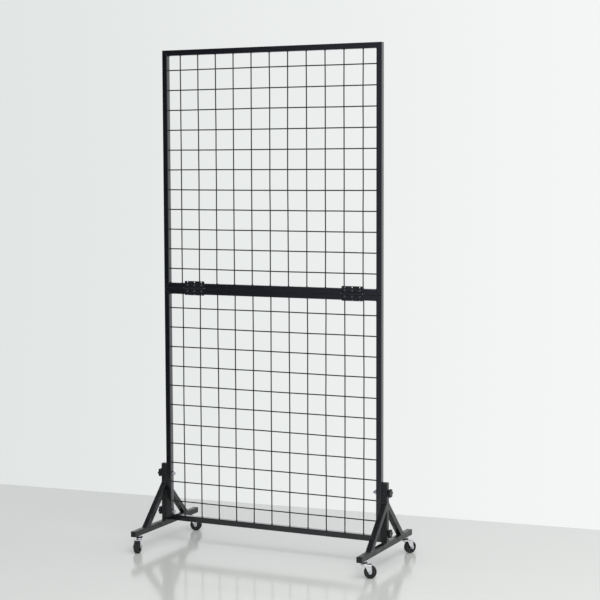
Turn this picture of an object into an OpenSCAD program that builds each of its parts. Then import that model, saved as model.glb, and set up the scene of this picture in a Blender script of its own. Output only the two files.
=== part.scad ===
// Folding wire grid display: two square grid panels, one above the other, joined
// by butt hinges on their front faces. The lower panel is bolted with hand knobs
// to two A-shaped feet that stand on swivel casters.
// Millimetres, +Z up, front towards -Y, floor at Z = 0, origin under the middle.

/* [Panels] */
// Outer width of each grid panel
panel_w = 800; // [600:10:1000]
// Outer height of each grid panel
panel_h = 800; // [600:10:1000]
// Cells across a panel
cells_across = 12; // [8:1:16]
// Cells up a panel
cells_up = 12; // [8:1:16]
// Diameter of the grid wires
wire_d = 4; // [3:0.5:6]
// Outer size of the square frame tube
tube = 19; // [16:1:25]
// Wall of the frame tube
tube_wall = 1.2; // [0.8:0.1:2]
// Outer corner radius of the frame tube
tube_r = 2; // [1.5:0.1:3]

/* [Hinges] */
// Length of a hinge along the fold
hinge_len = 75; // [60:1:100]
// Width of one leaf, from the pin's axis to its free edge
leaf_w = 24; // [22:0.5:30]
// Thickness of a leaf
leaf_t = 1.8; // [1.2:0.1:2]
// Corner radius of a leaf
leaf_r = 3; // [1:0.5:5]
// Outer diameter of the knuckles
barrel_d = 7.6; // [7:0.1:9]
// Diameter of the hinge pin
pin_d = 4; // [3:0.1:4.5]
// Diameter of the pin's riveted end
pin_head_d = 5.6; // [5:0.1:7]
// Thickness of the pin's riveted end
pin_head_t = 1; // [0.6:0.1:2]
// Height of the pin's axis above the joint between the panels
hinge_rise = 2.6; // [0:0.1:4]
// Knuckles on one hinge
knuckles = 5; // [3:2:7]
// Panel's left edge to the left hinge
left_hinge_inset = 81; // [30:1:150]
// Panel's right edge to the right hinge
right_hinge_inset = 64; // [30:1:150]
// End of a leaf to its outer screws
screw_end = 11; // [8:0.5:16]
// Leaf's free edge to its open row of holes
open_row_inset = 3.7; // [3.5:0.1:5]
// Pin's axis to the row of holes that takes the screws
screw_row = 9.5; // [9:0.5:12]
// Diameter of the hinge screws
screw_d = 4; // [3:0.5:5]
// Length of the hinge screws behind the leaf
screw_len = 8; // [5:1:14]
// Diameter of a screw's head
screw_head_d = 7.4; // [6.5:0.1:8]
// Height of a screw's head
screw_head_h = 1.6; // [1:0.1:2]

/* [Feet] */
// Outer size of the square foot tube
foot_tube = 19; // [16:1:22]
// Wall of the foot tube
foot_wall = 1.2; // [0.8:0.1:2]
// Length of the tube that lies along the floor
foot_len = 420; // [380:10:600]
// Height of the post above that tube
post_h = 193; // [180:1:260]
// Middle of the foot to a brace's outer edge, along the foot
brace_reach = 142; // [110:1:170]
// Top of the foot to the same edge, at the post
brace_rise = 131; // [100:1:150]
// Height of the panel's bottom above the top of the foot
panel_lift = 1; // [0:0.5:6]
// Gap between the foot and the panel's upright
foot_gap = 0.5; // [0.3:0.1:2]
// Thickness of the cap on a tube's end
cap_t = 3; // [2:0.5:5]
// Depth of the cap's plug in the tube
cap_plug = 9; // [6:1:9]
// Play of that plug in the tube, all round
cap_play = 0.6; // [0.2:0.1:1]
// Chamfer of the cap's edge
cap_step = 1.2; // [0.5:0.1:1.5]

/* [Knobs] */
// Diameter over the lobes of a knob
knob_d = 29; // [26:1:36]
// Lobes on a knob
knob_lobes = 6; // [5:1:8]
// Height of a knob
knob_t = 12; // [10:1:22]
// Radius of a lobe
lobe_r = 4.4; // [3:0.1:6]
// Radius between the lobes
waist_r = 11.2; // [9:0.1:14]
// Height of the plain foot under the lobes
knob_foot_t = 3; // [2:0.5:5]
// Radius of that foot
knob_foot_r = 10; // [8:0.5:12]
// Radius that rounds the lobes into the crown
crown_r = 4; // [2:0.5:6]
// Diameter of a knob's threaded stud
stud_d = 8; // [6:1:8]
// Panel's bottom to the lower knob
knob_low = 29; // [26:1:40]
// Spacing of the two knobs on a post
knob_pitch = 132; // [120:1:145]
// Width of a stud's nut across its flats
nut_flats = 13; // [13:1:15]
// Height of a stud's nut
nut_h = 6.5; // [5:0.5:8]
// Length of stud that stands past its nut
stud_tip = 6; // [2:1:10]

/* [Casters] */
// Floor to the underside of the foot
caster_h = 56; // [54:1:75]
// Diameter of a wheel
wheel_d = 40; // [36:1:42]
// Width of a wheel's tyre
wheel_w = 18; // [14:1:22]
// Thickness of the tyre's rubber
tyre_t = 4.5; // [3:0.5:6]
// Radius of the tyre's shoulders
tyre_r = 3; // [1:0.5:4]
// Width of the hub's rim
rim_w = 14; // [10:1:18]
// Thickness of the hub's rim
rim_t = 3; // [2:0.5:4]
// Thickness of the web between the rim and the boss
web_w = 6; // [4:0.5:10]
// Wall of the hub's boss round the axle
boss_wall = 3.5; // [2.5:0.5:5]
// Stem to axle, level
trail = 20; // [16:1:26]
// Thickness of the fork's sheet
fork_t = 2; // [1.5:0.1:3]
// Outer radius of the bends between the fork's top and its cheeks
bend_r = 3.5; // [3:0.1:5]
// Stem to the front edge of the cheeks, at their top
cheek_start = 1.5; // [0:0.5:4]
// Axle to the rear edge of the cheeks, at their top
cheek_rear = 4; // [2:0.5:6]
// Wall of the fork round its axle
cheek_wall = 2.5; // [2:0.1:4]
// Depth of the pressing in the cheeks' outer faces
press_depth = 0.6; // [0.3:0.1:1]
// Width of the raised border round that pressing
press_border = 2.2; // [1.5:0.1:3]
// Height of the pressing's lower edge above the axle
press_low = 6.5; // [5:0.5:10]
// Diameter of the swivel race
race_d = 24; // [22:1:26]
// Height of the upper cup of the race
race_h = 3.5; // [3:0.5:5]
// Height of the lower cup of the race
cup_h = 2.5; // [2:0.5:4.5]
// Diameter of the threaded stem
stem_d = 8; // [8:1:10]
// Width of the stem's nut across its flats
stem_flats = 13; // [13:1:15]
// Height of the stem's nut
stem_nut_h = 5; // [4:0.5:6.5]
// Space over the stem inside the foot tube
stem_clear = 1; // [0.5:0.5:4]
// Thickness of the stem's riveted end
rivet_t = 1.8; // [1:0.1:2.5]
// Width of the lip of that end round the stem
rivet_lip = 2; // [1:0.1:3]
// Diameter of the wheel's axle
axle_d = 6; // [5:0.5:7]
// Width of the axle's nut across its flats
axle_flats = 10; // [9:0.5:11]
// Height of the axle's nut
axle_nut_h = 3.5; // [3:0.5:5]
// End of the foot tube to the stem
stem_inset = 36; // [26:1:60]
// Heading of the front left caster
front_left_turn = -76; // [-180:1:180]
// Heading of the front right caster
front_right_turn = 22; // [-180:1:180]
// Heading of the rear left caster
rear_left_turn = 16; // [-180:1:180]
// Heading of the rear right caster
rear_right_turn = 60; // [-180:1:180]

/* [Clearances] */
// Radial clearance of a shaft in its bore
run_gap = 0.05; // [0.02:0.01:0.1]
// Radial clearance of a fastener in its hole
bolt_gap = 0.1; // [0.05:0.01:0.3]
// Gap between faces that turn past each other
face_gap = 0.3; // [0.2:0.05:0.5]
// Gap between the two layers of grid wire
wire_gap = 0.04; // [0.02:0.01:0.2]
// Gap between the wheel's hub and the fork
hub_gap = 0.5; // [0.3:0.1:1]
// Gap between the tyre and the fork's cheeks
tyre_gap = 1; // [0.5:0.1:2]

/* [Hidden] */

$fn = 48;
// Overshoot of a cutting solid
cut = 1;
// Flat end of a nut, as a share of its width across the flats
nut_face = 0.96;
// Smallest corner radius inside a tube
least_r = 0.3;

// Levels
base_top = caster_h + foot_tube;
panel_bottom = base_top + panel_lift;
joint_z = panel_bottom + panel_h;
low_knob_z = panel_bottom + knob_low;
high_knob_z = low_knob_z + knob_pitch;

// Hinges
pin_y = -(tube / 2 + barrel_d / 2 + face_gap);
pin_z = joint_z + hinge_rise;
leaf_back = -tube / 2 - pin_y;
leaf_start = barrel_d / 2 + face_gap;
left_hinge_x = -panel_w / 2 + left_hinge_inset + hinge_len / 2;
right_hinge_x = panel_w / 2 - right_hinge_inset - hinge_len / 2;
knuckle_len = hinge_len / knuckles;
screw_pitch = hinge_len / 2 - screw_end;

// Feet
foot_x = panel_w / 2 + foot_gap + foot_tube / 2;
foot_r = tube_r;
brace_angle = atan2(brace_rise, brace_reach - foot_tube / 2);

// Knobs
knob_x = foot_x + foot_tube / 2 + face_gap;
nut_x = panel_w / 2 - tube;

// Casters
wheel_r = wheel_d / 2;
stem_y = foot_len / 2 - stem_inset;
race_z = caster_h - stem_nut_h - race_h;
plate_z = race_z - face_gap - cup_h - fork_t;
rivet_r = stem_d / 2 + rivet_lip;
cheek_y = wheel_w / 2 + tyre_gap;
cheek_r = axle_d / 2 + cheek_wall;
fork_len = trail + cheek_r + cut;
fork_top = plate_z + fork_t;
hub_r = wheel_r - tyre_t;
hub_w = 2 * (cheek_y - hub_gap);

// ---- Shared shapes ----

module rounded_square(size, r) {
    union() {
        square([size - 2 * r, size], center = true);
        square([size, size - 2 * r], center = true);
        for (x = [-1, 1], y = [-1, 1])
            translate([x * (size / 2 - r), y * (size / 2 - r)]) circle(r = r);
    }
}

// Square tube along +Z, centred on its axis
module square_tube(length, size, wall, r) {
    linear_extrude(length) difference() {
        rounded_square(size, r);
        rounded_square(size - 2 * wall, max(r - wall, least_r));
    }
}

// Hexagonal body with its corners chamfered at 30 degrees at both ends
module hexagon(flats, height) {
    corner_r = flats / 2 / cos(30);
    face_r = nut_face * flats / 2;
    outer_r = corner_r + cut;
    chamfer = (outer_r - face_r) * tan(30);
    intersection() {
        cylinder(r = corner_r, h = height, $fn = 6);
        rotate_extrude() polygon([
            [0, 0], [face_r, 0], [outer_r, chamfer],
            [outer_r, height - chamfer], [face_r, height], [0, height]
        ]);
    }
}

module hex_nut(flats, height, bore_r) {
    difference() {
        hexagon(flats, height);
        translate([0, 0, -cut]) cylinder(r = bore_r, h = height + 2 * cut);
    }
}

// ---- Panels ----

// Frame tube along X with mitred ends; its outer face lies on Z = 0
module mitred_tube(length) {
    half = length / 2;
    intersection() {
        translate([-half, 0, tube / 2]) rotate([90, 0, 90]) square_tube(length, tube, tube_wall, tube_r);
        translate([0, tube, 0]) rotate([90, 0, 0]) linear_extrude(2 * tube) polygon([
            [-half - cut, -cut], [half + cut, -cut],
            [half - tube - cut, tube + cut], [-half + tube + cut, tube + cut]
        ]);
    }
}

// side is -1 for left and 1 for right
module upright(side, z0, stud_levels) {
    color([0.07, 0.07, 0.08]) difference() {
        mirror([side > 0 ? 1 : 0, 0, 0])
            translate([-panel_w / 2, 0, z0 + panel_h / 2]) rotate([0, 90, 0]) mitred_tube(panel_h);
        for (z = stud_levels)
            translate([side * (panel_w / 2 - tube / 2), 0, z]) rotate([0, 90, 0])
                cylinder(r = stud_d / 2 + bolt_gap, h = tube + 2 * cut, center = true);
    }
}

// Holes for the hinge screws in the front wall of a rail, on the level z
module screw_holes(z) {
    for (hinge_x = [left_hinge_x, right_hinge_x], i = [-1:1])
        translate([hinge_x + i * screw_pitch, -tube / 2 - cut, z]) rotate([-90, 0, 0])
            cylinder(r = screw_d / 2 + bolt_gap, h = tube_wall + 2 * cut, $fn = 24);
}

// at_top is true for the rail along the top of a panel; screw_levels lists the
// heights of its rows of hinge screws
module rail(z0, at_top, screw_levels) {
    color([0.07, 0.07, 0.08]) difference() {
        translate([0, 0, at_top ? z0 + panel_h : z0]) mirror([0, 0, at_top ? 1 : 0]) mitred_tube(panel_w);
        for (z = screw_levels) screw_holes(z);
    }
}

module vertical_wires(z0, y_side) {
    color([0.12, 0.12, 0.13]) for (i = [1:cells_across - 1])
        translate([-panel_w / 2 + i * panel_w / cells_across, y_side * (wire_d + wire_gap) / 2, z0 + tube])
            cylinder(d = wire_d, h = panel_h - 2 * tube, $fn = 24);
}

module horizontal_wires(z0, y_side) {
    color([0.12, 0.12, 0.13]) for (i = [1:cells_up - 1])
        translate([0, y_side * (wire_d + wire_gap) / 2, z0 + i * panel_h / cells_up]) rotate([0, 90, 0])
            cylinder(d = wire_d, h = panel_w - 2 * tube, center = true, $fn = 24);
}

// ---- Hinges ----

// One leaf with its knuckles, drawn with the pin's axis along X through the
// origin and the leaf going up; first is the number of its first knuckle
module hinge_leaf(first) {
    color([0.1, 0.1, 0.11]) difference() {
        union() {
            translate([0, leaf_back, 0]) rotate([90, 0, 0]) linear_extrude(leaf_t) union() {
                translate([-hinge_len / 2, leaf_start]) square([hinge_len, leaf_w - leaf_start - leaf_r]);
                translate([-hinge_len / 2 + leaf_r, leaf_start])
                    square([hinge_len - 2 * leaf_r, leaf_w - leaf_start]);
                for (side = [-1, 1])
                    translate([side * (hinge_len / 2 - leaf_r), leaf_w - leaf_r]) circle(r = leaf_r);
                for (i = [first:2:knuckles - 1])
                    translate([-hinge_len / 2 + i * knuckle_len + face_gap / 2, barrel_d / 8])
                        square([knuckle_len - face_gap, leaf_start]);
            }
            for (i = [first:2:knuckles - 1])
                translate([-hinge_len / 2 + i * knuckle_len + face_gap / 2, 0, 0]) rotate([0, 90, 0])
                    cylinder(d = barrel_d, h = knuckle_len - face_gap);
        }
        rotate([0, 90, 0]) cylinder(r = pin_d / 2 + run_gap, h = hinge_len + 2 * cut, center = true);
        for (i = [-1:1], row = [screw_row, leaf_w - open_row_inset])
            translate([i * screw_pitch, leaf_back + cut, row]) rotate([90, 0, 0])
                cylinder(r = screw_d / 2 + bolt_gap, h = leaf_t + 2 * cut, $fn = 24);
    }
}

module upper_leaf(x) {
    translate([x, pin_y, pin_z]) hinge_leaf(1);
}

module lower_leaf(x) {
    translate([x, pin_y, pin_z]) mirror([0, 0, 1]) hinge_leaf(0);
}

module hinge_pin(x) {
    color([0.75, 0.75, 0.77]) translate([x, pin_y, pin_z]) rotate([0, 90, 0]) union() {
        cylinder(d = pin_d, h = hinge_len + face_gap, center = true);
        for (side = [0, 1]) mirror([0, 0, side])
            translate([0, 0, hinge_len / 2 + face_gap / 2]) cylinder(d = pin_head_d, h = pin_head_t);
    }
}

// Six screws on the level z, with their heads on the front of the leaves
module hinge_screws(z) {
    color([0.14, 0.14, 0.15]) for (hinge_x = [left_hinge_x, right_hinge_x], i = [-1:1])
        translate([hinge_x + i * screw_pitch, -tube / 2 - leaf_t, z]) rotate([90, 0, 0]) union() {
            cylinder(d = screw_head_d, h = screw_head_h);
            translate([0, 0, -leaf_t - screw_len]) cylinder(d = screw_d, h = leaf_t + screw_len + cut / 2);
        }
}

// ---- Feet ----

module foot_post(side) {
    color([0.07, 0.07, 0.08]) difference() {
        translate([side * foot_x, 0, base_top]) square_tube(post_h, foot_tube, foot_wall, foot_r);
        for (z = [low_knob_z, high_knob_z])
            translate([side * foot_x, 0, z]) rotate([0, 90, 0])
                cylinder(r = stud_d / 2 + bolt_gap, h = foot_tube + 2 * cut, center = true);
    }
}

module foot_base(side) {
    color([0.07, 0.07, 0.08]) difference() {
        translate([side * foot_x, foot_len / 2, caster_h + foot_tube / 2]) rotate([90, 0, 0])
            square_tube(foot_len, foot_tube, foot_wall, foot_r);
        for (end = [-1, 1])
            translate([side * foot_x, end * stem_y, caster_h - cut])
                cylinder(r = stem_d / 2 + bolt_gap, h = foot_wall + 2 * cut);
    }
}

// end is -1 for the front brace and 1 for the rear one
module brace(side, end) {
    run = foot_len / 2;
    color([0.07, 0.07, 0.08]) mirror([0, end < 0 ? 1 : 0, 0]) intersection() {
        translate([side * foot_x, brace_reach, base_top]) rotate([-brace_angle, 0, 0])
            translate([0, run, -foot_tube / 2]) rotate([90, 0, 0])
                square_tube(2 * run, foot_tube, foot_wall, foot_r);
        translate([side * foot_x - foot_tube, foot_tube / 2, base_top])
            cube([2 * foot_tube, brace_reach, brace_rise + foot_tube]);
    }
}

// Cap along +Z: a chamfered lid and a plug that fills the tube
module tube_cap() {
    plug = foot_tube - 2 * foot_wall - 2 * cap_play;
    hull() {
        linear_extrude(cap_t - cap_step) rounded_square(foot_tube, foot_r, $fn = 24);
        linear_extrude(cap_t) rounded_square(foot_tube - 2 * cap_step, foot_r, $fn = 24);
    }
    translate([0, 0, -cap_plug]) linear_extrude(cap_plug + cap_t / 2) square(plug, center = true);
}

module foot_caps(side) {
    color([0.04, 0.04, 0.04]) union() {
        for (end = [-1, 1])
            translate([side * foot_x, end * foot_len / 2, caster_h + foot_tube / 2])
                rotate([-end * 90, 0, 0]) tube_cap();
        translate([side * foot_x, 0, base_top + post_h]) tube_cap();
    }
}

// ---- Knobs ----

// Lobes round a waist, cut to a rounded crown, on a plain round foot
module grip() {
    lobe_x = knob_d / 2 - lobe_r;
    outer_r = knob_d / 2 + cut / 2;
    lobes_h = knob_t - knob_foot_t;
    cylinder(r = knob_foot_r, h = knob_foot_t + cut);
    translate([0, 0, knob_foot_t]) intersection() {
        linear_extrude(lobes_h) union() {
            circle(r = waist_r);
            for (i = [0:knob_lobes - 1])
                rotate(i * 360 / knob_lobes) translate([lobe_x, 0]) circle(r = lobe_r);
        }
        rotate_extrude() union() {
            square([outer_r, lobes_h - crown_r]);
            square([outer_r - crown_r, lobes_h]);
            intersection() {
                translate([outer_r - crown_r, lobes_h - crown_r]) circle(r = crown_r);
                square([outer_r, lobes_h]);
            }
        }
    }
}

// Knob with its stud; side is -1 for left, and the stud points to the panel
module knob(side, z) {
    stud_end = nut_x - nut_h - stud_tip;
    translate([0, 0, z]) mirror([side < 0 ? 1 : 0, 0, 0]) union() {
        color([0.04, 0.04, 0.04]) translate([knob_x, 0, 0]) rotate([0, 90, 0]) grip();
        color([0.75, 0.75, 0.77]) translate([stud_end, 0, 0]) rotate([0, 90, 0])
            cylinder(d = stud_d, h = knob_x - stud_end + cut);
    }
}

module knob_nuts() {
    color([0.75, 0.75, 0.77]) for (side = [0, 1], z = [low_knob_z, high_knob_z])
        mirror([side, 0, 0]) translate([nut_x - nut_h, 0, z]) rotate([0, 90, 0])
            hex_nut(nut_flats, nut_h, stud_d / 2 + bolt_gap);
}

// ---- Casters ----
// Each piece is drawn with the stem on the Z axis and the wheel trailing to +X

module stem() {
    stem_top = base_top - foot_wall - stem_clear;
    color([0.75, 0.75, 0.77]) union() {
        translate([0, 0, plate_z - face_gap - rivet_t])
            cylinder(d = stem_d, h = stem_top - plate_z + face_gap + rivet_t);
        translate([0, 0, plate_z - face_gap - rivet_t]) cylinder(r = rivet_r, h = rivet_t);
        for (z = [caster_h - stem_nut_h, caster_h + foot_wall])
            translate([0, 0, z]) hexagon(stem_flats, stem_nut_h);
    }
}

module race() {
    lip = 0.8;
    color([0.08, 0.08, 0.09]) translate([0, 0, race_z]) rotate_extrude() polygon([
        [stem_d / 2 + run_gap, 0], [race_d / 2 - lip, 0], [race_d / 2, lip],
        [race_d / 2, race_h - 2 * lip], [race_d / 2 - 3 * lip, race_h], [stem_d / 2 + run_gap, race_h]
    ]);
}

// Angle, seen from the circle's middle, at which a line from p touches a circle
function touch_angle(p, c, r, way) =
    atan2(p[1] - c[1], p[0] - c[0]) + way * acos(r / norm(p - c));

// Side view of a cheek, from the top of the fork down round the axle; inset
// moves its slanting edges inwards
module cheek_outline(inset) {
    axle = [trail, wheel_r];
    rim = cheek_r - inset;
    lead = [cheek_start + inset, fork_top];
    rear = [trail + cheek_rear - inset, fork_top];
    lead_touch = touch_angle(lead, axle, rim, 1);
    rear_touch = touch_angle(rear, axle, rim, -1);
    union() {
        translate(axle) circle(r = rim);
        polygon([
            lead, rear,
            axle + rim * [cos(rear_touch), sin(rear_touch)], axle,
            axle + rim * [cos(lead_touch), sin(lead_touch)]
        ]);
    }
}

// The part of that view that is pressed in, from the bend to above the axle
module pressing_outline() {
    intersection() {
        cheek_outline(press_border);
        translate([0, wheel_r + press_low]) square([fork_len, fork_top - bend_r - wheel_r - press_low]);
    }
}

// Arch from the floor up, its top corners rounded
module arch(half, top, r) {
    union() {
        translate([-half, 0]) square([2 * half, top - r]);
        translate([-half + r, 0]) square([2 * (half - r), top]);
        for (side = [-1, 1]) translate([side * (half - r), top - r]) circle(r = r);
    }
}

// A sheet bent over the wheel, cut to the cheeks' outline, with the round crown
// and lower cup of the race on top
module fork() {
    outside = cheek_y + fork_t;
    color([0.75, 0.75, 0.77]) difference() {
        union() {
            intersection() {
                translate([0, outside + cut, 0]) rotate([90, 0, 0])
                    linear_extrude(2 * (outside + cut)) cheek_outline(0);
                rotate([90, 0, 90]) linear_extrude(fork_len) difference() {
                    arch(outside, fork_top, bend_r);
                    translate([0, -cut]) arch(cheek_y, plate_z + cut, bend_r - fork_t);
                }
            }
            translate([0, 0, plate_z]) cylinder(d = race_d, h = fork_t);
            translate([0, 0, plate_z + fork_t / 2]) cylinder(d = race_d - fork_t, h = cup_h + fork_t / 2);
        }
        for (side = [0, 1]) mirror([0, side, 0])
            translate([0, outside + cut, 0]) rotate([90, 0, 0])
                linear_extrude(cut + press_depth) pressing_outline();
        translate([0, 0, plate_z - cut]) cylinder(r = stem_d / 2 + run_gap, h = fork_t + cup_h + 2 * cut);
        translate([trail, 0, wheel_r]) rotate([90, 0, 0])
            cylinder(r = axle_d / 2 + run_gap, h = 2 * (outside + cut), center = true);
    }
}

// Wheel pieces are revolved about Z and laid on their side at the axle
module on_axle() {
    translate([trail, 0, wheel_r]) rotate([90, 0, 0]) children();
}

module hub() {
    boss_r = axle_d / 2 + boss_wall;
    color([0.1, 0.1, 0.11]) on_axle() rotate_extrude() difference() {
        union() {
            translate([0, -hub_w / 2]) square([boss_r, hub_w]);
            translate([0, -web_w / 2]) square([hub_r, web_w]);
            translate([hub_r - rim_t, -rim_w / 2]) square([rim_t, rim_w]);
        }
        translate([-cut, -hub_w]) square([axle_d / 2 + run_gap + cut, 2 * hub_w]);
    }
}

module tyre() {
    seat_r = hub_r + run_gap;
    color([0.05, 0.05, 0.05]) on_axle() rotate_extrude() intersection() {
        union() {
            translate([0, -wheel_w / 2]) square([wheel_r - tyre_r, wheel_w]);
            translate([0, -wheel_w / 2 + tyre_r]) square([wheel_r, wheel_w - 2 * tyre_r]);
            for (side = [-1, 1])
                translate([wheel_r - tyre_r, side * (wheel_w / 2 - tyre_r)]) circle(r = tyre_r);
        }
        translate([seat_r, -wheel_w]) square([wheel_r, 2 * wheel_w]);
    }
}

module axle() {
    outside = cheek_y + fork_t;
    color([0.75, 0.75, 0.77]) on_axle() union() {
        translate([0, 0, -outside - cut]) cylinder(d = axle_d, h = 2 * outside + axle_nut_h + 2 * cut);
        for (z = [-outside - axle_nut_h, outside]) translate([0, 0, z]) hexagon(axle_flats, axle_nut_h);
    }
}

// Puts a caster piece under its end of a foot, turned to its heading
module caster(side, end, turn) {
    translate([side * foot_x, end * stem_y, 0]) rotate(turn) children();
}

upright(-1, joint_z, []);  // upper_left_upright
upright(1, joint_z, []);  // upper_right_upright
rail(joint_z, true, []);  // upper_top_rail
rail(joint_z, false, [pin_z + screw_row]);  // upper_bottom_rail
vertical_wires(joint_z, -1);  // upper_vertical_wires
horizontal_wires(joint_z, 1);  // upper_horizontal_wires
upright(-1, panel_bottom, [low_knob_z, high_knob_z]);  // lower_left_upright
upright(1, panel_bottom, [low_knob_z, high_knob_z]);  // lower_right_upright
rail(panel_bottom, true, [pin_z - screw_row]);  // lower_top_rail
rail(panel_bottom, false, []);  // lower_bottom_rail
vertical_wires(panel_bottom, 1);  // lower_vertical_wires
horizontal_wires(panel_bottom, -1);  // lower_horizontal_wires
upper_leaf(left_hinge_x);  // left_hinge_upper_leaf
lower_leaf(left_hinge_x);  // left_hinge_lower_leaf
hinge_pin(left_hinge_x);  // left_hinge_pin
upper_leaf(right_hinge_x);  // right_hinge_upper_leaf
lower_leaf(right_hinge_x);  // right_hinge_lower_leaf
hinge_pin(right_hinge_x);  // right_hinge_pin
hinge_screws(pin_z + screw_row);  // upper_hinge_screws
hinge_screws(pin_z - screw_row);  // lower_hinge_screws
foot_post(-1);  // left_foot_post
foot_base(-1);  // left_foot_base
brace(-1, -1);  // left_front_brace
brace(-1, 1);  // left_rear_brace
foot_caps(-1);  // left_foot_caps
foot_post(1);  // right_foot_post
foot_base(1);  // right_foot_base
brace(1, -1);  // right_front_brace
brace(1, 1);  // right_rear_brace
foot_caps(1);  // right_foot_caps
knob(-1, high_knob_z);  // left_upper_knob
knob(-1, low_knob_z);  // left_lower_knob
knob(1, high_knob_z);  // right_upper_knob
knob(1, low_knob_z);  // right_lower_knob
knob_nuts();
caster(-1, -1, front_left_turn) stem();  // front_left_stem
caster(-1, -1, front_left_turn) race();  // front_left_race
caster(-1, -1, front_left_turn) fork();  // front_left_fork
caster(-1, -1, front_left_turn) hub();  // front_left_hub
caster(-1, -1, front_left_turn) tyre();  // front_left_tyre
caster(-1, -1, front_left_turn) axle();  // front_left_axle
caster(1, -1, front_right_turn) stem();  // front_right_stem
caster(1, -1, front_right_turn) race();  // front_right_race
caster(1, -1, front_right_turn) fork();  // front_right_fork
caster(1, -1, front_right_turn) hub();  // front_right_hub
caster(1, -1, front_right_turn) tyre();  // front_right_tyre
caster(1, -1, front_right_turn) axle();  // front_right_axle
caster(-1, 1, rear_left_turn) stem();  // rear_left_stem
caster(-1, 1, rear_left_turn) race();  // rear_left_race
caster(-1, 1, rear_left_turn) fork();  // rear_left_fork
caster(-1, 1, rear_left_turn) hub();  // rear_left_hub
caster(-1, 1, rear_left_turn) tyre();  // rear_left_tyre
caster(-1, 1, rear_left_turn) axle();  // rear_left_axle
caster(1, 1, rear_right_turn) stem();  // rear_right_stem
caster(1, 1, rear_right_turn) race();  // rear_right_race
caster(1, 1, rear_right_turn) fork();  // rear_right_fork
caster(1, 1, rear_right_turn) hub();  // rear_right_hub
caster(1, 1, rear_right_turn) tyre();  // rear_right_tyre
caster(1, 1, rear_right_turn) axle();  // rear_right_axle
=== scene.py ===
"""Looks of a folding wire grid display on casters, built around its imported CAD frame.

Metres, +Z up, front towards -Y, floor at Z = 0. The tubes, hinge leaves and pins, caps,
casters and nuts are the CAD nodes with finishes of their own. The grid wires, welds, hand
knobs, studs and hinge screws are new pieces worked out with numpy.
"""
import math

import bpy
import numpy as np
from mathutils import Matrix, Vector


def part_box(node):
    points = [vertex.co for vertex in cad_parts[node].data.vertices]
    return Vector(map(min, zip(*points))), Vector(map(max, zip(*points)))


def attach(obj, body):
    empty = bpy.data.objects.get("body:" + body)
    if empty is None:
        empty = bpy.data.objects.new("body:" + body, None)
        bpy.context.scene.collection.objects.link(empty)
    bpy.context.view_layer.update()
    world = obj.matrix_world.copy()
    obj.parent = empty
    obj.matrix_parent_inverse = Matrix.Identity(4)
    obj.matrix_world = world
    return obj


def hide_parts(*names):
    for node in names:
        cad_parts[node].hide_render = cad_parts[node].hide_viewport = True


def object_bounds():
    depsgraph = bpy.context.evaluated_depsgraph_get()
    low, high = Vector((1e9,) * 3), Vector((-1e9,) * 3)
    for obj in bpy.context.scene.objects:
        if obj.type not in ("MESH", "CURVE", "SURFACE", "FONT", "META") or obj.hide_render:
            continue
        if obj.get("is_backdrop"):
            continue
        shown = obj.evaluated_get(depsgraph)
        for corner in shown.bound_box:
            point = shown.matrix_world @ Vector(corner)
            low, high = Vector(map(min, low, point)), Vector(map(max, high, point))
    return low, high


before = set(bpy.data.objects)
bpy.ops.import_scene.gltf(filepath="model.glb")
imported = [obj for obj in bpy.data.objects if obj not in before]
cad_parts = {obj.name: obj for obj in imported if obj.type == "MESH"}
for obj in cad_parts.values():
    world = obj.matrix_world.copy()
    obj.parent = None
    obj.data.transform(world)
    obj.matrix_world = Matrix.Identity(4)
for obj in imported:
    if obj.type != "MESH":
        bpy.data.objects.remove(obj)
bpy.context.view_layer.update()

MM = 0.001
# A unit vector with more than this along Z counts as upright
NEARLY_UPRIGHT = 0.9
rng = np.random.default_rng(7)
X, Y, Z = np.eye(3)


# ---------------------------------------------------------------- shapes from arrays


def corners(node):
    """The lowest and the highest corner of a CAD node at rest, as arrays."""
    low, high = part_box(node)
    return np.array(low), np.array(high)


def skin(rings):
    """Closed skin over rings of points. rings has the shape (rings, points, 3).

    Quads join point k of ring i to point k + 1 of ring i + 1, and each end closes in a fan
    of triangles round the mean of its ring. Returns points, quads and triangles.
    """
    n, m = rings.shape[:2]
    first = np.arange(m)
    after = (first + 1) % m
    start = (np.arange(n - 1) * m)[:, None]
    quads = np.stack([start + first, start + after, start + m + after, start + m + first], -1)
    last = (n - 1) * m
    fans = np.concatenate([
        np.stack([after, first, np.full(m, n * m)], -1),
        np.stack([last + first, last + after, np.full(m, n * m + 1)], -1),
    ])
    points = np.concatenate([rings.reshape(-1, 3), rings[:1].mean(1), rings[-1:].mean(1)])
    return points, quads.reshape(-1, 4), fans


def outward(shape):
    """The same shape with its faces turned outwards.

    Six times the enclosed volume is the sum over triangles of the triple product of their
    corners. Where it is negative, every face is listed the other way round.
    """
    points, quads, tris = shape
    middle = points.mean(0)
    flat = np.concatenate([quads[:, [0, 1, 2]], quads[:, [0, 2, 3]], tris])
    a, b, c = (points[flat[:, i]] - middle for i in range(3))
    if (a * np.cross(b, c)).sum() < 0:
        return points, quads[:, ::-1], tris[:, ::-1]
    return shape


def ringed(r, t, z):
    """Points at radius r, angle t and height z round +Z: (r cos t, r sin t, z)."""
    return np.stack([r * np.cos(t), r * np.sin(t), z + 0 * t], -1)


def copies(shape, moves):
    """One shape repeated at each row of moves, an array (copies, 3)."""
    points, quads, tris = shape
    count, step = len(moves), len(points)
    shift = (np.arange(count) * step)[:, None, None]
    return (
        (points[None] + np.asarray(moves)[:, None]).reshape(-1, 3),
        (quads[None] + shift).reshape(-1, 4),
        (tris[None] + shift).reshape(-1, 3),
    )


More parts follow.
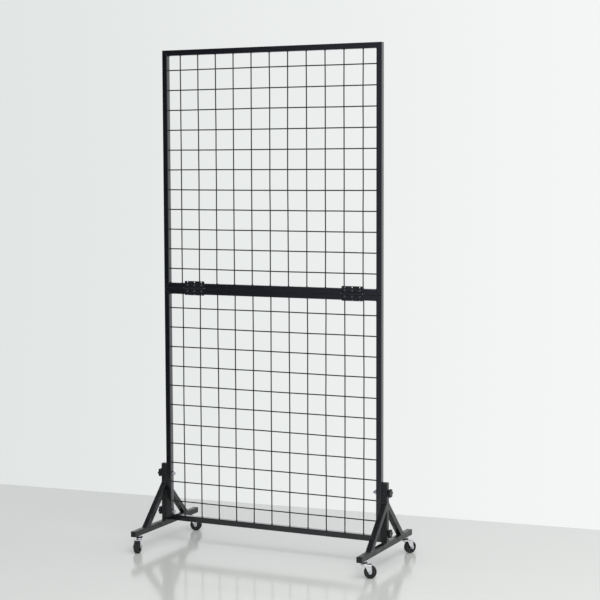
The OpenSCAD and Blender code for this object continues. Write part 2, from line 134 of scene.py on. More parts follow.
def together(shapes):
    """Several shapes as one."""
    points, quads, tris, base = [], [], [], 0
    for p, q, t in shapes:
        points.append(p)
        quads.append(q + base)
        tris.append(t + base)
        base += len(p)
    return np.concatenate(points), np.concatenate(quads), np.concatenate(tris)


def placed(shape, along, origin=(0, 0, 0)):
    """The shape with its own +Z turned to the unit vector along, then moved to origin.

    Its +X goes to the level direction square to along, or to the world's +X where along
    is upright.
    """
    z = np.asarray(along, float)
    x = np.cross(Z, z) if abs(z[2]) < NEARLY_UPRIGHT else X
    x = x / np.linalg.norm(x)
    y = np.cross(z, x)
    points, quads, tris = shape
    return points @ np.stack([x, y, z]) + np.asarray(origin, float), quads, tris


def add_piece(name, shape, body, finish, stands_for=(), crease=35):
    """Makes the mesh, shades it smooth but for creases over that many degrees, and fixes it
    to its body."""
    points, quads, tris = outward(shape)
    mesh = bpy.data.meshes.new(name)
    mesh.from_pydata(points.tolist(), [], quads.tolist() + tris.tolist())
    mesh.polygons.foreach_set("use_smooth", np.ones(len(mesh.polygons), bool))
    mesh.set_sharp_from_angle(angle=math.radians(crease))
    mesh.materials.append(finish)
    piece = bpy.data.objects.new(name, mesh)
    bpy.context.scene.collection.objects.link(piece)
    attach(piece, body)
    if stands_for:
        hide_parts(*stands_for)


# ---------------------------------------------------------------- finishes

# Grain of each effect, in cells of noise per metre
PAINT_PATCHES, PAINT_CHIPS, PAINT_STREAKS, PAINT_GLOSS, ORANGE_PEEL = 14, 90, 26, 40, 700
ZINC_CLOUDS, ZINC_LINES = 160, 1500
PLASTIC_RUBS, PLASTIC_GLOSS = 220, 300
RUBBER_DUST, RUBBER_GLOSS, RUBBER_PORES = 120, 250, 1800

RUB_MARK = (0.06, 0.06, 0.062)
# Pale colour laid on zinc edges, a painted highlight
ZINC_EDGE_HIGHLIGHT = (0.97, 0.97, 0.97)


def finish_named(name):
    """A new material with its node tree and its Principled shader."""
    material = bpy.data.materials.new(name)
    material.use_nodes = True
    tree = material.node_tree
    return material, tree, tree.nodes["Principled BSDF"]


def grain(tree, scale, detail=2.0, stretch=(1, 1, 1)):
    """Noise over Object coordinates, scale in cells per metre. Returns its output."""
    place = tree.nodes.new("ShaderNodeTexCoord")
    turn = tree.nodes.new("ShaderNodeMapping")
    turn.inputs["Scale"].default_value = stretch
    noise = tree.nodes.new("ShaderNodeTexNoise")
    noise.inputs["Scale"].default_value = scale
    noise.inputs["Detail"].default_value = detail
    tree.links.new(place.outputs["Object"], turn.inputs["Vector"])
    tree.links.new(turn.outputs["Vector"], noise.inputs["Vector"])
    return noise.outputs["Fac"]


def ranged(tree, value, low, high, start=0.3, stop=0.7):
    """value from start to stop, mapped to low to high."""
    node = tree.nodes.new("ShaderNodeMapRange")
    ends = {"From Min": start, "From Max": stop, "To Min": low, "To Max": high}
    for socket, number in ends.items():
        node.inputs[socket].default_value = number
    tree.links.new(value, node.inputs["Value"])
    return node.outputs["Result"]


def mixed(tree, factor, a, b):
    """A colour that goes from a to b with factor. a and b are colours or outputs."""
    node = tree.nodes.new("ShaderNodeMix")
    node.data_type = "RGBA"
    for socket, value in ((node.inputs[6], a), (node.inputs[7], b)):
        if isinstance(value, tuple):
            socket.default_value = (*value, 1)
        else:
            tree.links.new(value, socket)
    tree.links.new(factor, node.inputs[0])
    return node.outputs[2]


def rounded_edges(tree, radius):
    """The normal of edges eased to radius, and a mask that is 1 on such an edge."""
    bevel = tree.nodes.new("ShaderNodeBevel")
    bevel.samples = 6
    bevel.inputs["Radius"].default_value = radius
    flat = tree.nodes.new("ShaderNodeNewGeometry")
    dot = tree.nodes.new("ShaderNodeVectorMath")
    dot.operation = "DOT_PRODUCT"
    tree.links.new(bevel.outputs["Normal"], dot.inputs[0])
    tree.links.new(flat.outputs["Normal"], dot.inputs[1])
    return bevel.outputs["Normal"], ranged(tree, dot.outputs["Value"], 1.0, 0.0, 0.75, 0.97)


def paler(colour, times):
    """The colour with each channel multiplied, for a patch that is a little paler."""
    return tuple(times * channel for channel in colour)


def bumped(tree, shader, height, depth, normal=None):
    """Bump of that depth in metres on the shader's normal."""
    bump = tree.nodes.new("ShaderNodeBump")
    bump.inputs["Strength"].default_value = 1.0
    bump.inputs["Distance"].default_value = depth
    tree.links.new(height, bump.inputs["Height"])
    if normal is not None:
        tree.links.new(normal, bump.inputs["Normal"])
    tree.links.new(bump.outputs["Normal"], shader.inputs["Normal"])


def powder_coat(name, colour, worn, rough, coat, rubbed=0.0, spread=0.06):
    """Baked powder paint on steel: orange peel, gloss that varies, thin paler edges.

    worn is the colour of chipped edges, rubbed the share of pale rub marks, rough and
    spread the middle and the half range of the roughness, coat the share of clear gloss.
    """
    material, tree, shader = finish_named(name)
    normal, edge = rounded_edges(tree, 0.5 * MM)
    patches = grain(tree, PAINT_PATCHES, 4)
    tint = mixed(tree, ranged(tree, patches, 0, 1), colour, paler(colour, 1.35))
    chipped = tree.nodes.new("ShaderNodeMath")
    chipped.operation = "MULTIPLY"
    tree.links.new(edge, chipped.inputs[0])
    chips = ranged(tree, grain(tree, PAINT_CHIPS, 5), 0.1, 0.8, 0.45, 0.65)
    tree.links.new(chips, chipped.inputs[1])
    surface = mixed(tree, chipped.outputs[0], tint, worn)
    if rubbed:
        streaks = grain(tree, PAINT_STREAKS, 8, stretch=(7, 1, 5))
        surface = mixed(tree, ranged(tree, streaks, 0.0, rubbed, 0.54, 0.74), surface, RUB_MARK)
    tree.links.new(surface, shader.inputs["Base Color"])
    gloss = ranged(tree, grain(tree, PAINT_GLOSS, 5), rough - spread, rough + spread)
    tree.links.new(gloss, shader.inputs["Roughness"])
    shader.inputs["Coat Weight"].default_value = coat
    shader.inputs["Coat Roughness"].default_value = 0.14
    bumped(tree, shader, grain(tree, ORANGE_PEEL, 2), 0.03 * MM, normal)
    return material


def zinc_plate(name, colour, shade, rough, edge_width):
    """Bright zinc plating: clouded tint, fine rub marks and a painted highlight on its edges."""
    material, tree, shader = finish_named(name)
    normal, edge = rounded_edges(tree, edge_width)
    clouds = mixed(tree, ranged(tree, grain(tree, ZINC_CLOUDS, 4), 0, 1), colour, shade)
    # Edges are mixed to a pale colour: a painted highlight
    tree.links.new(mixed(tree, edge, clouds, ZINC_EDGE_HIGHLIGHT), shader.inputs["Base Color"])
    shader.inputs["Metallic"].default_value = 1.0
    lines = grain(tree, ZINC_LINES, 3)
    tree.links.new(ranged(tree, lines, rough - 0.07, rough + 0.1), shader.inputs["Roughness"])
    bumped(tree, shader, lines, 0.01 * MM, normal)
    return material


def moulded_plastic(name, colour, rough, cells):
    """Moulded black plastic: fine pebbled texture, slightly rubbed on its edges."""
    material, tree, shader = finish_named(name)
    normal, edge = rounded_edges(tree, 0.6 * MM)
    rubbed = ranged(tree, grain(tree, PLASTIC_RUBS, 4), 0.0, 0.6)
    tint = mixed(tree, rubbed, colour, paler(colour, 1.5))
    tree.links.new(mixed(tree, edge, tint, paler(colour, 2.2)), shader.inputs["Base Color"])
    gloss = ranged(tree, grain(tree, PLASTIC_GLOSS, 3), rough - 0.06, rough + 0.08)
    tree.links.new(gloss, shader.inputs["Roughness"])
    bumped(tree, shader, grain(tree, cells, 2), 0.04 * MM, normal)
    return material


def wheel_rubber(name, colour, dust):
    """Black rubber with a matt, faintly dusty surface."""
    material, tree, shader = finish_named(name)
    dusty = ranged(tree, grain(tree, RUBBER_DUST, 5), 0.0, 0.55, 0.42, 0.75)
    tree.links.new(mixed(tree, dusty, colour, dust), shader.inputs["Base Color"])
    gloss = ranged(tree, grain(tree, RUBBER_GLOSS, 4), 0.5, 0.72)
    tree.links.new(gloss, shader.inputs["Roughness"])
    bumped(tree, shader, grain(tree, RUBBER_PORES, 3), 0.05 * MM)
    return material


frame_coat = powder_coat(
    "satin black powder coat", (0.0034, 0.0038, 0.0048), worn=(0.018, 0.019, 0.022),
    rough=0.22, coat=0.6, rubbed=0.06)
foot_coat = powder_coat(
    "matt black powder coat", (0.0034, 0.0036, 0.0044), worn=(0.020, 0.021, 0.024),
    rough=0.36, coat=0.0, rubbed=0.30, spread=0.13)
wire_coat = powder_coat(
    "powder coat on wire", (0.004, 0.004, 0.0045), worn=(0.015, 0.015, 0.016),
    rough=0.4, coat=0.0)
weld_coat = powder_coat(
    "powder coat over welds", (0.005, 0.0053, 0.0062), worn=(0.02, 0.02, 0.022),
    rough=0.24, coat=0.4)
hinge_coat = powder_coat(
    "hinge black", (0.0058, 0.0060, 0.0074), worn=(0.045, 0.045, 0.048),
    rough=0.30, coat=0.2)
race_coat = powder_coat(
    "race black", (0.008, 0.008, 0.009), worn=(0.08, 0.08, 0.08), rough=0.32, coat=0.2)
# Blackened screws whose paler black and pale worn edges are partly wear, partly a painted glint
screw_coat_with_glints = powder_coat(
    "blackened screws with painted glints", (0.045, 0.046, 0.050), worn=(0.22, 0.22, 0.23), rough=0.27, coat=0.4)
# Bright zinc of the forks, made paler than the bolts' zinc as a painted highlight
highlit_fork_zinc = zinc_plate(
    "fork zinc with painted highlight", (0.88, 0.89, 0.91), shade=(0.70, 0.72, 0.75),
    rough=0.26, edge_width=0.9 * MM)
bolt_zinc = zinc_plate(
    "bright zinc of fasteners", (0.72, 0.73, 0.76), shade=(0.52, 0.54, 0.58),
    rough=0.27, edge_width=0.4 * MM)
cap_plastic = moulded_plastic("black cap plastic", (0.006, 0.006, 0.007), rough=0.46, cells=900)
knob_plastic = moulded_plastic("black knob plastic", (0.005, 0.005, 0.0055), rough=0.40,
                               cells=1100)
hub_plastic = moulded_plastic("black hub nylon", (0.018, 0.018, 0.019), rough=0.34, cells=1300)
tyre_rubber = wheel_rubber("black tyre rubber", (0.006, 0.006, 0.0065),
                           dust=(0.03, 0.03, 0.029))

FINISH_OF_SLOT = {
    "frame_black": frame_coat, "grid_wire": wire_coat, "hinge_black": hinge_coat,
    "zinc": bolt_zinc, "race_black": race_coat, "cap_plastic": cap_plastic,
    "knob_plastic": knob_plastic, "hub": hub_plastic, "tyre": tyre_rubber,
}
# The feet are painted a little duller than the panels, the forks paler than bolts: painted
# highlight
FINISH_OF_ENDING = {
    "_fork": highlit_fork_zinc, "_foot_post": foot_coat, "_foot_base": foot_coat, "_brace": foot_coat,
}
for node_name, node_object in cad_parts.items():
    own = [finish for ending, finish in FINISH_OF_ENDING.items() if node_name.endswith(ending)]
    for place in node_object.material_slots:
        slot_name = place.material.name.split(".")[0]
        place.material = own[0] if own else FINISH_OF_SLOT[slot_name]


# ---------------------------------------------------------------- grid wires and their welds

CELLS = 12
WIRE_R = 2.0 * MM
FILLET_H = 2.4 * MM
# How far aside an upright and a level wire swing, for a wave of 1
UP_SWING, LEVEL_SWING = 1.1 * MM, 0.9 * MM
PANELS = {"upper": "upper_panel", "lower": "base"}


def wandering_rods(centres, along, aside, length, swing):
    """Round rods, nearly straight, as grid wires are once they are welded.

    Rod k runs through centres[k] along the unit vector along. A point at share s of its
    length lies aside by swing times a sin(pi s) + 0.35 b sin(3 pi s) + 0.2 c sin(8 pi s),
    with a, b and c drawn for each rod from -1 to 1, so both ends stay in place. Each ring is
    a circle square to along. Returns the shape and each rod's wave.
    """
    steps, sides = 49, 12
    s = np.linspace(0, 1, steps)
    a, b, c = (rng.uniform(-1, 1, (len(centres), 1)) for _ in range(3))
    bend = np.pi * s
    wave = a * np.sin(bend) + 0.35 * b * np.sin(3 * bend) + 0.2 * c * np.sin(8 * bend)
    t = np.linspace(0, 2 * np.pi, sides, endpoint=False)
    ring = WIRE_R * (np.cos(t)[:, None] * aside + np.sin(t)[:, None] * np.cross(along, aside))
    line = (np.asarray(centres)[:, None] + ((s - 0.5) * length)[None, :, None] * along
            + swing * wave[:, :, None] * aside)
    return together([skin(row[:, None] + ring) for row in line]), wave


def spot_weld():
    """The squeezed collar where two crossed wires are spot welded.

    A ball of radius a, cut off above the share top of its height and flattened to the share
    flat across the wires' plane. Its outline is swollen to a rounded square: across and up
    are a |cos t|^p sign(cos t) and the same of sin t, with p below 1.
    """
    a, flat, p, top = 2.45 * MM, 0.62, 0.8, 0.95
    t = np.linspace(0, 2 * np.pi, 10, endpoint=False) + 0.3
    up = np.linspace(-top, top, 5)
    wide = np.sqrt(1 - up ** 2)[:, None]
    c, d = np.cos(t), np.sin(t)
    x = a * wide * np.sign(c) * np.abs(c) ** p
    z = a * wide * np.sign(d) * np.abs(d) ** p
    return skin(np.stack([x, 0 * x + a * flat * up[:, None], z], -1))


def end_fillet():
    """The weld fillet round a wire's end: a small cone whose side curves in.

    Its radius is 1.05 + 0.85 (1 - h)^2 wire radii at share h of its height, and it is
    scalloped by up to 6 per cent, four times round.
    """
    h = np.linspace(0, 1, 5)[:, None]
    t = np.linspace(0, 2 * np.pi, 14, endpoint=False)
    r = WIRE_R * (1.05 + 0.85 * (1 - h) ** 2) * (1 + 0.06 * np.sin(4 * t) * (1 - h))
    return skin(ringed(r, t, FILLET_H * h))


# Width of the square tubes
TUBE = corners("upper_left_upright")[1][0] - corners("upper_left_upright")[0][0]
for panel, body in PANELS.items():
    left, right = corners(f"{panel}_left_upright")[0], corners(f"{panel}_right_upright")[1]
    uprights = corners(f"{panel}_vertical_wires")
    levels = corners(f"{panel}_horizontal_wires")
    wide, high = right[0] - left[0], right[2] - left[2]
    xs = left[0] + wide * np.arange(1, CELLS) / CELLS
    zs = left[2] + high * np.arange(1, CELLS) / CELLS
    y_up = (uprights[0][1] + uprights[1][1]) / 2
    y_level = (levels[0][1] + levels[1][1]) / 2
    mid_x, mid_z = (left[0] + right[0]) / 2, (left[2] + right[2]) / 2
    clear_x, clear_z = wide - 2 * TUBE, high - 2 * TUBE
    up_rods, up_wave = wandering_rods(
        np.stack([xs, 0 * xs + y_up, 0 * xs + mid_z], -1), Z, X, clear_z, UP_SWING)
    level_rods, level_wave = wandering_rods(
        np.stack([0 * zs + mid_x, 0 * zs + y_level, zs], -1), X, Z, clear_x, LEVEL_SWING)
    add_piece(f"{panel}_upright_rods", up_rods, body, wire_coat,
              [f"{panel}_vertical_wires"])
    add_piece(f"{panel}_level_rods", level_rods, body, wire_coat,
              [f"{panel}_horizontal_wires"])
    # Where each pair of rods crosses: the aside of one is read off at the place of the other
    share_z = (zs - (mid_z - clear_z / 2)) / clear_z
    share_x = (xs - (mid_x - clear_x / 2)) / clear_x
    at = np.linspace(0, 1, up_wave.shape[1])
    cross_x = xs[:, None] + UP_SWING * np.stack([np.interp(share_z, at, w) for w in up_wave])
    cross_z = zs + LEVEL_SWING * np.stack([np.interp(share_x, at, w) for w in level_wave], 1)
    crossings = np.stack([cross_x, 0 * cross_x + (y_up + y_level) / 2, cross_z], -1).reshape(-1, 3)
    add_piece(f"{panel}_spot_welds", copies(outward(spot_weld()), crossings), body, weld_coat)
    fillet = outward(end_fillet())
    ends = []
    for sign in (-1, 1):
        z_end, x_end = mid_z + sign * clear_z / 2, mid_x + sign * clear_x / 2
        at_rails = np.stack([xs, 0 * xs + y_up, 0 * xs + z_end], -1)
        at_uprights = np.stack([0 * zs + x_end, 0 * zs + y_level, zs], -1)
        ends.append(copies(placed(fillet, -sign * Z), at_rails))
        ends.append(copies(placed(fillet, -sign * X), at_uprights))
    add_piece(f"{panel}_wire_end_welds", together(ends), body, weld_coat)


# ---------------------------------------------------------------- weld beads

RING_STEP, RIPPLE_STEP = 0.45 * MM, 1.4 * MM
# Radii of the beads inside a panel's corner and along its mitres, and how far a bead inside
# goes towards the faces, as a share of the half depth
CORNER_R, MITRE_R, CORNER_SHARE = 2.0 * MM, 1.7 * MM, 0.93
# Radii of the beads on a foot: round the post, over and under a brace, at its toe, and along
# the outer side
POST_R, OVER_R, UNDER_R, TOE_R, SIDE_R = 2.2 * MM, 2.0 * MM, 2.6 * MM, 1.9 * MM, 2.0 * MM
# How far the beads stop short of the tubes' corners
MITRE_START, MITRE_STOP, ACROSS_INSET, SIDE_INSET = 0.8 * MM, 0.5 * MM, 0.6 * MM, 1 * MM
# Beads ground nearly flush with a face: height over width, and ripple
FRAME_FLUSH, FRAME_RIPPLE = 0.13, 0.06
FOOT_FLUSH, FOOT_RIPPLE = 0.16, 0.08


def bead(start, stop, radius, low=(1.0, None), ripple=0.1):
    """A weld bead from start to stop, lens-shaped, with its middle on the joint.

    Each ring is an ellipse square to the line, its half-width the radius. low is a pair: the
    half-height as a share of the half-width, and the direction it is measured in. At share s
    of the line the radius is multiplied by 1 - (2 s - 1)^8, at least 0.12, so the ends close,
    and by 1 - ripple + 2 ripple |sin(pi n s)|, n being the line's length in ripples.
    """
    start, stop = np.asarray(start, float), np.asarray(stop, float)
    share, out = low
    line = stop - start
    length = np.linalg.norm(line)
    u = line / length
    if out is None:
        out = Z if abs(u[2]) < NEARLY_UPRIGHT else X
    v = np.asarray(out, float) - np.dot(out, u) * u
    v /= np.linalg.norm(v)
    w = np.cross(u, v)
    count = max(9, int(length / RING_STEP))
    s = np.linspace(0, 1, count)
    r = radius * np.clip(1 - (2 * s - 1) ** 8, 0.12, 1) * (
        1 - ripple + 2 * ripple * np.abs(np.sin(np.pi * s * length / RIPPLE_STEP)))
    t = np.linspace(0, 2 * np.pi, 10, endpoint=False)
    ring = np.cos(t)[:, None] * w + share * np.sin(t)[:, None] * v
    return skin(start + s[:, None, None] * line + r[:, None, None] * ring)


# At each corner of a panel: one bead inside, and one along the mitre of both faces
for panel, body in PANELS.items():
    low, high = corners(f"{panel}_left_upright")[0], corners(f"{panel}_right_upright")[1]
    beads = []
    for sx, x in ((1, low[0]), (-1, high[0])):
        for sz, z in ((1, low[2]), (-1, high[2])):
            inner = np.array([x + sx * TUBE, 0, z + sz * TUBE])
            beads.append(bead(inner + low[1] * CORNER_SHARE * Y,
                              inner + high[1] * CORNER_SHARE * Y, CORNER_R))
            for y in (low[1], high[1]):
                flat = (FRAME_FLUSH, np.sign(y) * Y)
                start, stop = ([x + sx * inset, y, z + sz * inset]
                               for inset in (MITRE_START, TUBE - MITRE_STOP))
                beads.append(bead(start, stop, MITRE_R, flat, FRAME_RIPPLE))
    add_piece(f"{panel}_corner_welds", together(beads), body, weld_coat)

SIDES = {"left": -1, "right": 1}
for side, sign in SIDES.items():
    post, base = corners(f"{side}_foot_post"), corners(f"{side}_foot_base")
    top, half = base[1][2], abs(post[1][1])
    x0, x1 = post[0][0], post[1][0]
    outer = x0 if sign < 0 else x1

    def across(y, z, radius):
        """A bead across the foot's width."""
        return bead([x0 + ACROSS_INSET, y, z], [x1 - ACROSS_INSET, y, z], radius)

    def flush(start, stop):
        """A flat bead on the foot's outer side, each end given as its Y and Z."""
        return bead([outer, *start], [outer, *stop], SIDE_R, (FOOT_FLUSH, sign * X), FOOT_RIPPLE)

    beads = []
    for end, name in ((-1, "front"), (1, "rear")):
        brace = corners(f"{side}_{name}_brace")
        reach = max(abs(brace[0][1]), abs(brace[1][1]))
        rise = brace[1][2] - top
        slope = math.atan2(rise, reach - half)
        # The brace's cut is this long down the post, and back along the base tube
        drop, back = TUBE / math.cos(slope), TUBE / math.sin(slope)
        beads += [
            across(end * half, top, POST_R),
            across(end * reach, top, TOE_R),
            across(end * (reach - back), top, UNDER_R),
            across(end * half, top + rise, OVER_R),
            across(end * half, top + rise - drop, UNDER_R),
            flush((end * half, top + rise - SIDE_INSET), (end * half, top + rise - drop)),
            flush((end * (reach - SIDE_INSET), top), (end * (reach - back), top)),
        ]
    beads.append(flush((-half + SIDE_INSET, top), (half - SIDE_INSET, top)))
    add_piece(f"{side}_foot_welds", together(beads), "base", weld_coat)


# ---------------------------------------------------------------- hand knobs and studs

LOBES = 6
GRIP_WIDTH, GRIP_FOOT = 29 * MM, 3 * MM
# Gap between a grip and the post, and how deep a stud is set into its grip
GRIP_GAP, STUD_SET = 0.3 * MM, 2 * MM
STUD_R, THREAD_LENGTH, THREAD_PITCH = 3.95 * MM, 14 * MM, 1.25 * MM


def lobed_grip(width, height, foot):
    """Hand grip with round lobes, a rounded crown and a shallow dish in its top.

    The outline's radius at angle t is the far side of a circle of radius b at distance d from
    the middle, d cos f + sqrt(b^2 - d^2 sin^2 f), f being t folded to one lobe; between
    the lobes it is a smaller circle. A soft maximum joins the two: blend times the log of the
    sum of their exponentials, each taken over blend. Above a round foot the outline is moved
    in by an inset, which follows a quarter circle at the crown: edge times 1 - cos a, at edge
    times sin a above its start. The dish is three round rings.
    """
    b = 0.15 * width
    d = width / 2 - b
    t = np.linspace(0, 2 * np.pi, 120, endpoint=False)
    f = (t + np.pi / LOBES) % (2 * np.pi / LOBES) - np.pi / LOBES
    root = np.sqrt(np.clip(b ** 2 - (d * np.sin(f)) ** 2, 0, None))
    lobe = np.where(d * np.abs(np.sin(f)) < b, d * np.cos(f) + root, 0)
    valley = width / 2 - 0.78 * b
    blend = 0.35 * MM
    outline = blend * np.logaddexp(lobe / blend, valley / blend)
    disc, edge = valley - 1.2 * MM, 2.6 * MM
    quarter = np.linspace(0, np.pi / 2, 7)
    skirt = [(2.4 * MM, foot), (0.7 * MM, foot + 0.5 * MM), (0.0, foot + 1.6 * MM)]
    crown = [(edge * (1 - np.cos(a)), height - edge + edge * np.sin(a)) for a in quarter]
    dish = [(0.62, height - 0.05 * MM), (0.56, height - 0.5 * MM), (0.3, height - 0.9 * MM)]
    rows = [(disc - 1.0 * MM, 0.0), (disc, 0.7 * MM), (disc, foot)]
    rows += [(outline - inset, z) for inset, z in skirt + crown]
    rows += [(share * valley, z) for share, z in dish]
    return skin(np.stack([ringed(r, t, z) for r, z in rows]))


def threaded_stud(radius, plain, threaded, pitch):
    """A stud whose far part has a thread.

    On the thread the radius at height z and angle t is less by the depth times a triangle
    wave of z / pitch - t / (2 pi). The depth is 0.55 of the pitch and grows from 0 over the
    first turn. Over the last end_h the radius also falls by end_r.
    """
    sides, per_turn = 24, 8
    end_h, end_r = 0.6 * MM, 0.7 * MM
    t = np.linspace(0, 2 * np.pi, sides, endpoint=False)
    up = np.linspace(0, threaded, int(threaded / pitch * per_turn) + 1)
    z = np.concatenate([[0.0], plain + up])[:, None]
    phase = (z / pitch - t / (2 * np.pi)) % 1
    depth = 0.55 * pitch * np.clip((z - plain) / pitch, 0, 1)
    end = np.clip((plain + threaded - z) / end_h, 0, 1)
    return skin(ringed(radius - depth * (1 - np.abs(2 * phase - 1)) - (1 - end) * end_r, t, z))


for side, sign in SIDES.items():
    post = corners(f"{side}_foot_post")
    for level in ("upper", "lower"):
        node = f"{side}_{level}_knob"
        low, high = corners(node)
        centre = (low + high) / 2
        face = post[0][0] - GRIP_GAP if sign < 0 else post[1][0] + GRIP_GAP
        tip, head = (high[0], low[0]) if sign < 0 else (low[0], high[0])
        grip = lobed_grip(GRIP_WIDTH, abs(head - face), GRIP_FOOT)
        add_piece(f"{node}_grip", placed(grip, sign * X, [face, centre[1], centre[2]]), node,
                  knob_plastic, [node], 50)
        plain = abs(tip - face) - (THREAD_LENGTH - STUD_SET)
        stud = threaded_stud(STUD_R, plain, THREAD_LENGTH, THREAD_PITCH)
        add_piece(f"{node}_stud",
                  placed(stud, -sign * X, [face + sign * STUD_SET, centre[1], centre[2]]),
                  node, bolt_zinc, (), 60)


# ---------------------------------------------------------------- hinge screws

HEAD_H, SHANK_R, SHANK_LENGTH = 1.6 * MM, 1.95 * MM, 9.8 * MM
# From the middle of the outer screws to the leaf's ends
SCREW_END = 11 * MM


def pan_screw(head_r, head_h, shank_r, shank):
    """Pan-headed screw with a cross recess, its head rising along +Z.

    The head is a disc with a rounded side, given as shares of its radius and of its height.
    Inside 0.75 of the radius its top is lowered by 0.75 of its height times the greater of
    two grooves: 1 - (|x| / half width)^4, faded to nothing at the arm's end, and the same
    with x and y exchanged.
    """
    t = np.linspace(0, 2 * np.pi, 64, endpoint=False)
    shares = np.array([[1.0, 1.0, 0.97, 0.88, 0.74, 0.64, 0.56,
                        0.48, 0.40, 0.32, 0.24, 0.16, 0.08, 0.02]]).T
    rise = np.array([[0.0, 0.45, 0.72, 0.90, 0.97, 0.99] + [1.0] * 8]).T
    x, y = (head_r * shares * f(t) for f in (np.cos, np.sin))
    arm, half, fade = 0.6 * head_r, 0.13 * head_r, 0.2 * head_r

    def groove(across, length):
        """1 in the middle of one arm of the cross, 0 outside it."""
        deep = np.clip(1 - (np.abs(across) / half) ** 4, 0, 1)
        return deep * np.clip((arm - np.abs(length)) / fade, 0, 1)

    cut = 0.75 * head_h * np.maximum(groove(x, y), groove(y, x))
    top = np.stack([x, y, head_h * rise - cut * (shares < 0.75)], -1)
    r = np.array([[shank_r * 0.6], [shank_r], [shank_r]])
    z = np.array([[-shank], [-shank + 0.6 * MM], [0.0]])
    return skin(np.concatenate([ringed(r, t, z), top]))


for level, body in PANELS.items():
    node = f"{level}_hinge_screws"
    low, high = corners(node)
    z = (low[2] + high[2]) / 2
    places = []
    for side in SIDES:
        leaf = corners(f"{side}_hinge_{level}_leaf")
        middle = (leaf[0][0] + leaf[1][0]) / 2
        pitch = (leaf[1][0] - leaf[0][0]) / 2 - SCREW_END
        places += [middle - pitch, middle, middle + pitch]
    head_r = (high[2] - low[2]) / 2
    points, quads, tris = outward(pan_screw(head_r, HEAD_H, SHANK_R, SHANK_LENGTH))
    screws = []
    for x in places:
        spin = rng.uniform(0, np.pi / 2)
        c, s = math.cos(spin), math.sin(spin)
        spun = points @ np.array([[c, s, 0], [-s, c, 0], [0, 0, 1]])
        screws.append(placed((spun, quads, tris), -Y, [x, low[1] + HEAD_H, z]))
    add_piece(node.replace("screws", "pan_screws"), together(screws), body, screw_coat_with_glints,
              [node], 40)


# ---------------------------------------------------------------- floor, light and camera

# Tones of the wall and the floor, from the darker left to the lighter right: painted shade
WALL_SHADED_LEFT, WALL_LIT_RIGHT = (0.765, 0.79, 0.785), (0.905, 0.925, 0.92)
FLOOR_SHADED_LEFT, FLOOR_LIT_RIGHT = (0.52, 0.53, 0.51), (0.63, 0.64, 0.615)
# Tones of the room that mirrors and lights the display
DIM_FRONT, LEFT_FRONT, WINDOW = (0.0, 0.0, 0.0), (0.52, 0.55, 0.70), (0.96, 0.97, 0.98)
ROOM_WALLS, CEILING = (0.97, 0.985, 1.0), (0.21, 0.21, 0.22)
# Distances from the origin at which the floor begins to fade and is gone
FADE_START, FADE_STOP = 1.75, 4.2


def stage_face(name, outline, finish):
    """One flat face of the surroundings through the points of outline."""
    mesh = bpy.data.meshes.new(name)
    mesh.from_pydata(outline, [], [tuple(range(len(outline)))])
    mesh.materials.append(finish)
    face = bpy.data.objects.new(name, mesh)
    bpy.context.scene.collection.objects.link(face)
    face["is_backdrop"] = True
    return face


floor_finish, tree, shader = finish_named("pale polished floor")
spot = tree.nodes.new("ShaderNodeTexCoord")
parts = tree.nodes.new("ShaderNodeSeparateXYZ")
tree.links.new(spot.outputs["Object"], parts.inputs["Vector"])
# The floor's colour is darker to the left, lighter to the right: painted shade and light
lit_towards_right = ranged(tree, parts.outputs["X"], 0, 1, -1.0, 1.2)
tree.links.new(mixed(tree, lit_towards_right, FLOOR_SHADED_LEFT, FLOOR_LIT_RIGHT), shader.inputs["Base Color"])
tree.links.new(ranged(tree, grain(tree, 3, 3), 0.10, 0.16), shader.inputs["Roughness"])
shader.inputs["Specular IOR Level"].default_value = 0.3
# Far from the display the camera sees the floor fade into the backdrop
away = tree.nodes.new("ShaderNodeVectorMath")
away.operation = "LENGTH"
tree.links.new(spot.outputs["Object"], away.inputs[0])
seen, fade = tree.nodes.new("ShaderNodeLightPath"), tree.nodes.new("ShaderNodeMath")
fade.operation = "MULTIPLY"
tree.links.new(ranged(tree, away.outputs["Value"], 0, 1, FADE_START, FADE_STOP), fade.inputs[0])
tree.links.new(seen.outputs["Is Camera Ray"], fade.inputs[1])
clear, blend = tree.nodes.new("ShaderNodeBsdfTransparent"), tree.nodes.new("ShaderNodeMixShader")
tree.links.new(fade.outputs[0], blend.inputs[0])
tree.links.new(shader.outputs[0], blend.inputs[1])
tree.links.new(clear.outputs[0], blend.inputs[2])
tree.links.new(blend.outputs[0], tree.nodes["Material Output"].inputs["Surface"])
# The far edge is where the wall stood behind the display
far_left, far_right = (-6, 0.152, 0), (9, 1.516, 0)
near_left, near_right = (-6, -0.9, 0), (9, -0.9, 0)
stage_face("floor", [far_left, near_left, near_right, far_right], floor_finish)
# The floor goes on towards the front, for the camera alone
far_out = stage_face(
    "floor further out", [near_left, (-6, -6, 0), (9, -6, 0), near_right], floor_finish)
far_out.visible_diffuse = far_out.visible_glossy = False
far_out.visible_transmission = far_out.visible_shadow = False

world = bpy.data.worlds.new("studio")
bpy.context.scene.world = world
world.use_nodes = True
tree = world.node_tree
direction = tree.nodes.new("ShaderNodeTexCoord")
parts = tree.nodes.new("ShaderNodeSeparateXYZ")
tree.links.new(direction.outputs["Generated"], parts.inputs["Vector"])
# The wall the camera sees is darker to the left, lighter to the right: painted shade and light
wall = mixed(tree, ranged(tree, parts.outputs["X"], 0, 1, -0.58, -0.27), WALL_SHADED_LEFT, WALL_LIT_RIGHT)
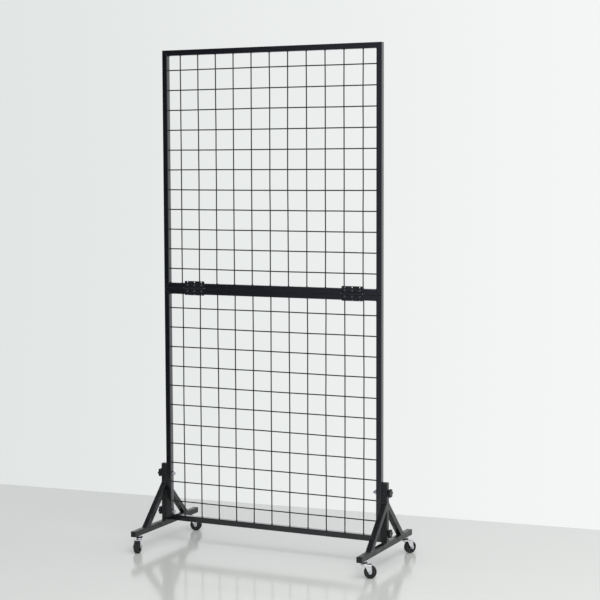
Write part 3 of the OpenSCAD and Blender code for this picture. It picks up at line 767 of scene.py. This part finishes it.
# Other rays meet a room that is dim at the front left and bright at the front right, where
# a window is, under a ceiling that is dimmer than the walls
side = parts.outputs["X"]
front = mixed(tree, ranged(tree, side, 0, 1, -0.50, -0.30), DIM_FRONT, LEFT_FRONT)
front = mixed(tree, ranged(tree, side, 0, 1, -0.15, 0.30), front, WINDOW)
walls = mixed(tree, ranged(tree, parts.outputs["Y"], 0, 1, -0.5, 0.2), front, ROOM_WALLS)
room = mixed(tree, ranged(tree, parts.outputs["Z"], 0, 1, 0.35, 0.75), walls, CEILING)
path = tree.nodes.new("ShaderNodeLightPath")
backdrop = tree.nodes["Background"]
tree.links.new(mixed(tree, path.outputs["Is Camera Ray"], room, wall), backdrop.inputs["Color"])
backdrop.inputs["Strength"].default_value = 1.0


def softbox(name, place, target, size, power):
    """A square area lamp that looks at target."""
    lamp = bpy.data.lights.new(name, "AREA")
    lamp.shape = "SQUARE"
    lamp.size = size
    lamp.energy = power
    holder = bpy.data.objects.new(name, lamp)
    bpy.context.scene.collection.objects.link(holder)
    holder.location = place
    holder.rotation_mode = "QUATERNION"
    holder.rotation_quaternion = (Vector(target) - Vector(place)).to_track_quat("-Z", "Y")
    return holder


softbox("window softbox", (2.4, -2.4, 4.2), target=(0, 0, 0.5), size=3.0, power=75)
# The ceiling is lit evenly, so its lamp throws soft light and no glare
ceiling = softbox("ceiling softbox", (0.6, -0.8, 4.6), target=(0, 0, 0.3), size=5.0, power=168)
ceiling.visible_glossy = False

# The camera stands where the photograph was taken from
CAMERA_PLACE = (2.3226, -4.6204, 1.2796)
HEADING, PITCH, ROLL = (math.radians(a) for a in (-25.614, -4.783, -0.185))
LENS, SENSOR = 94.3, 36
forward = Vector((math.sin(HEADING) * math.cos(PITCH), math.cos(HEADING) * math.cos(PITCH),
                  math.sin(PITCH)))
level = Vector((math.cos(HEADING), -math.sin(HEADING), 0))
upward = level.cross(forward)
right = level * math.cos(ROLL) + upward * math.sin(ROLL)
upward = upward * math.cos(ROLL) - level * math.sin(ROLL)
camera = bpy.data.objects.new("camera", bpy.data.cameras.new("camera"))
bpy.context.scene.collection.objects.link(camera)
camera.matrix_world = Matrix((
    (right.x, upward.x, -forward.x, CAMERA_PLACE[0]),
    (right.y, upward.y, -forward.y, CAMERA_PLACE[1]),
    (right.z, upward.z, -forward.z, CAMERA_PLACE[2]),
    (0, 0, 0, 1),
))
camera.data.sensor_width = SENSOR
camera.data.lens = LENS
camera.data.clip_end = 100
bpy.context.scene.camera = camera
bpy.context.scene.view_settings.view_transform = "Standard"

low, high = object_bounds()
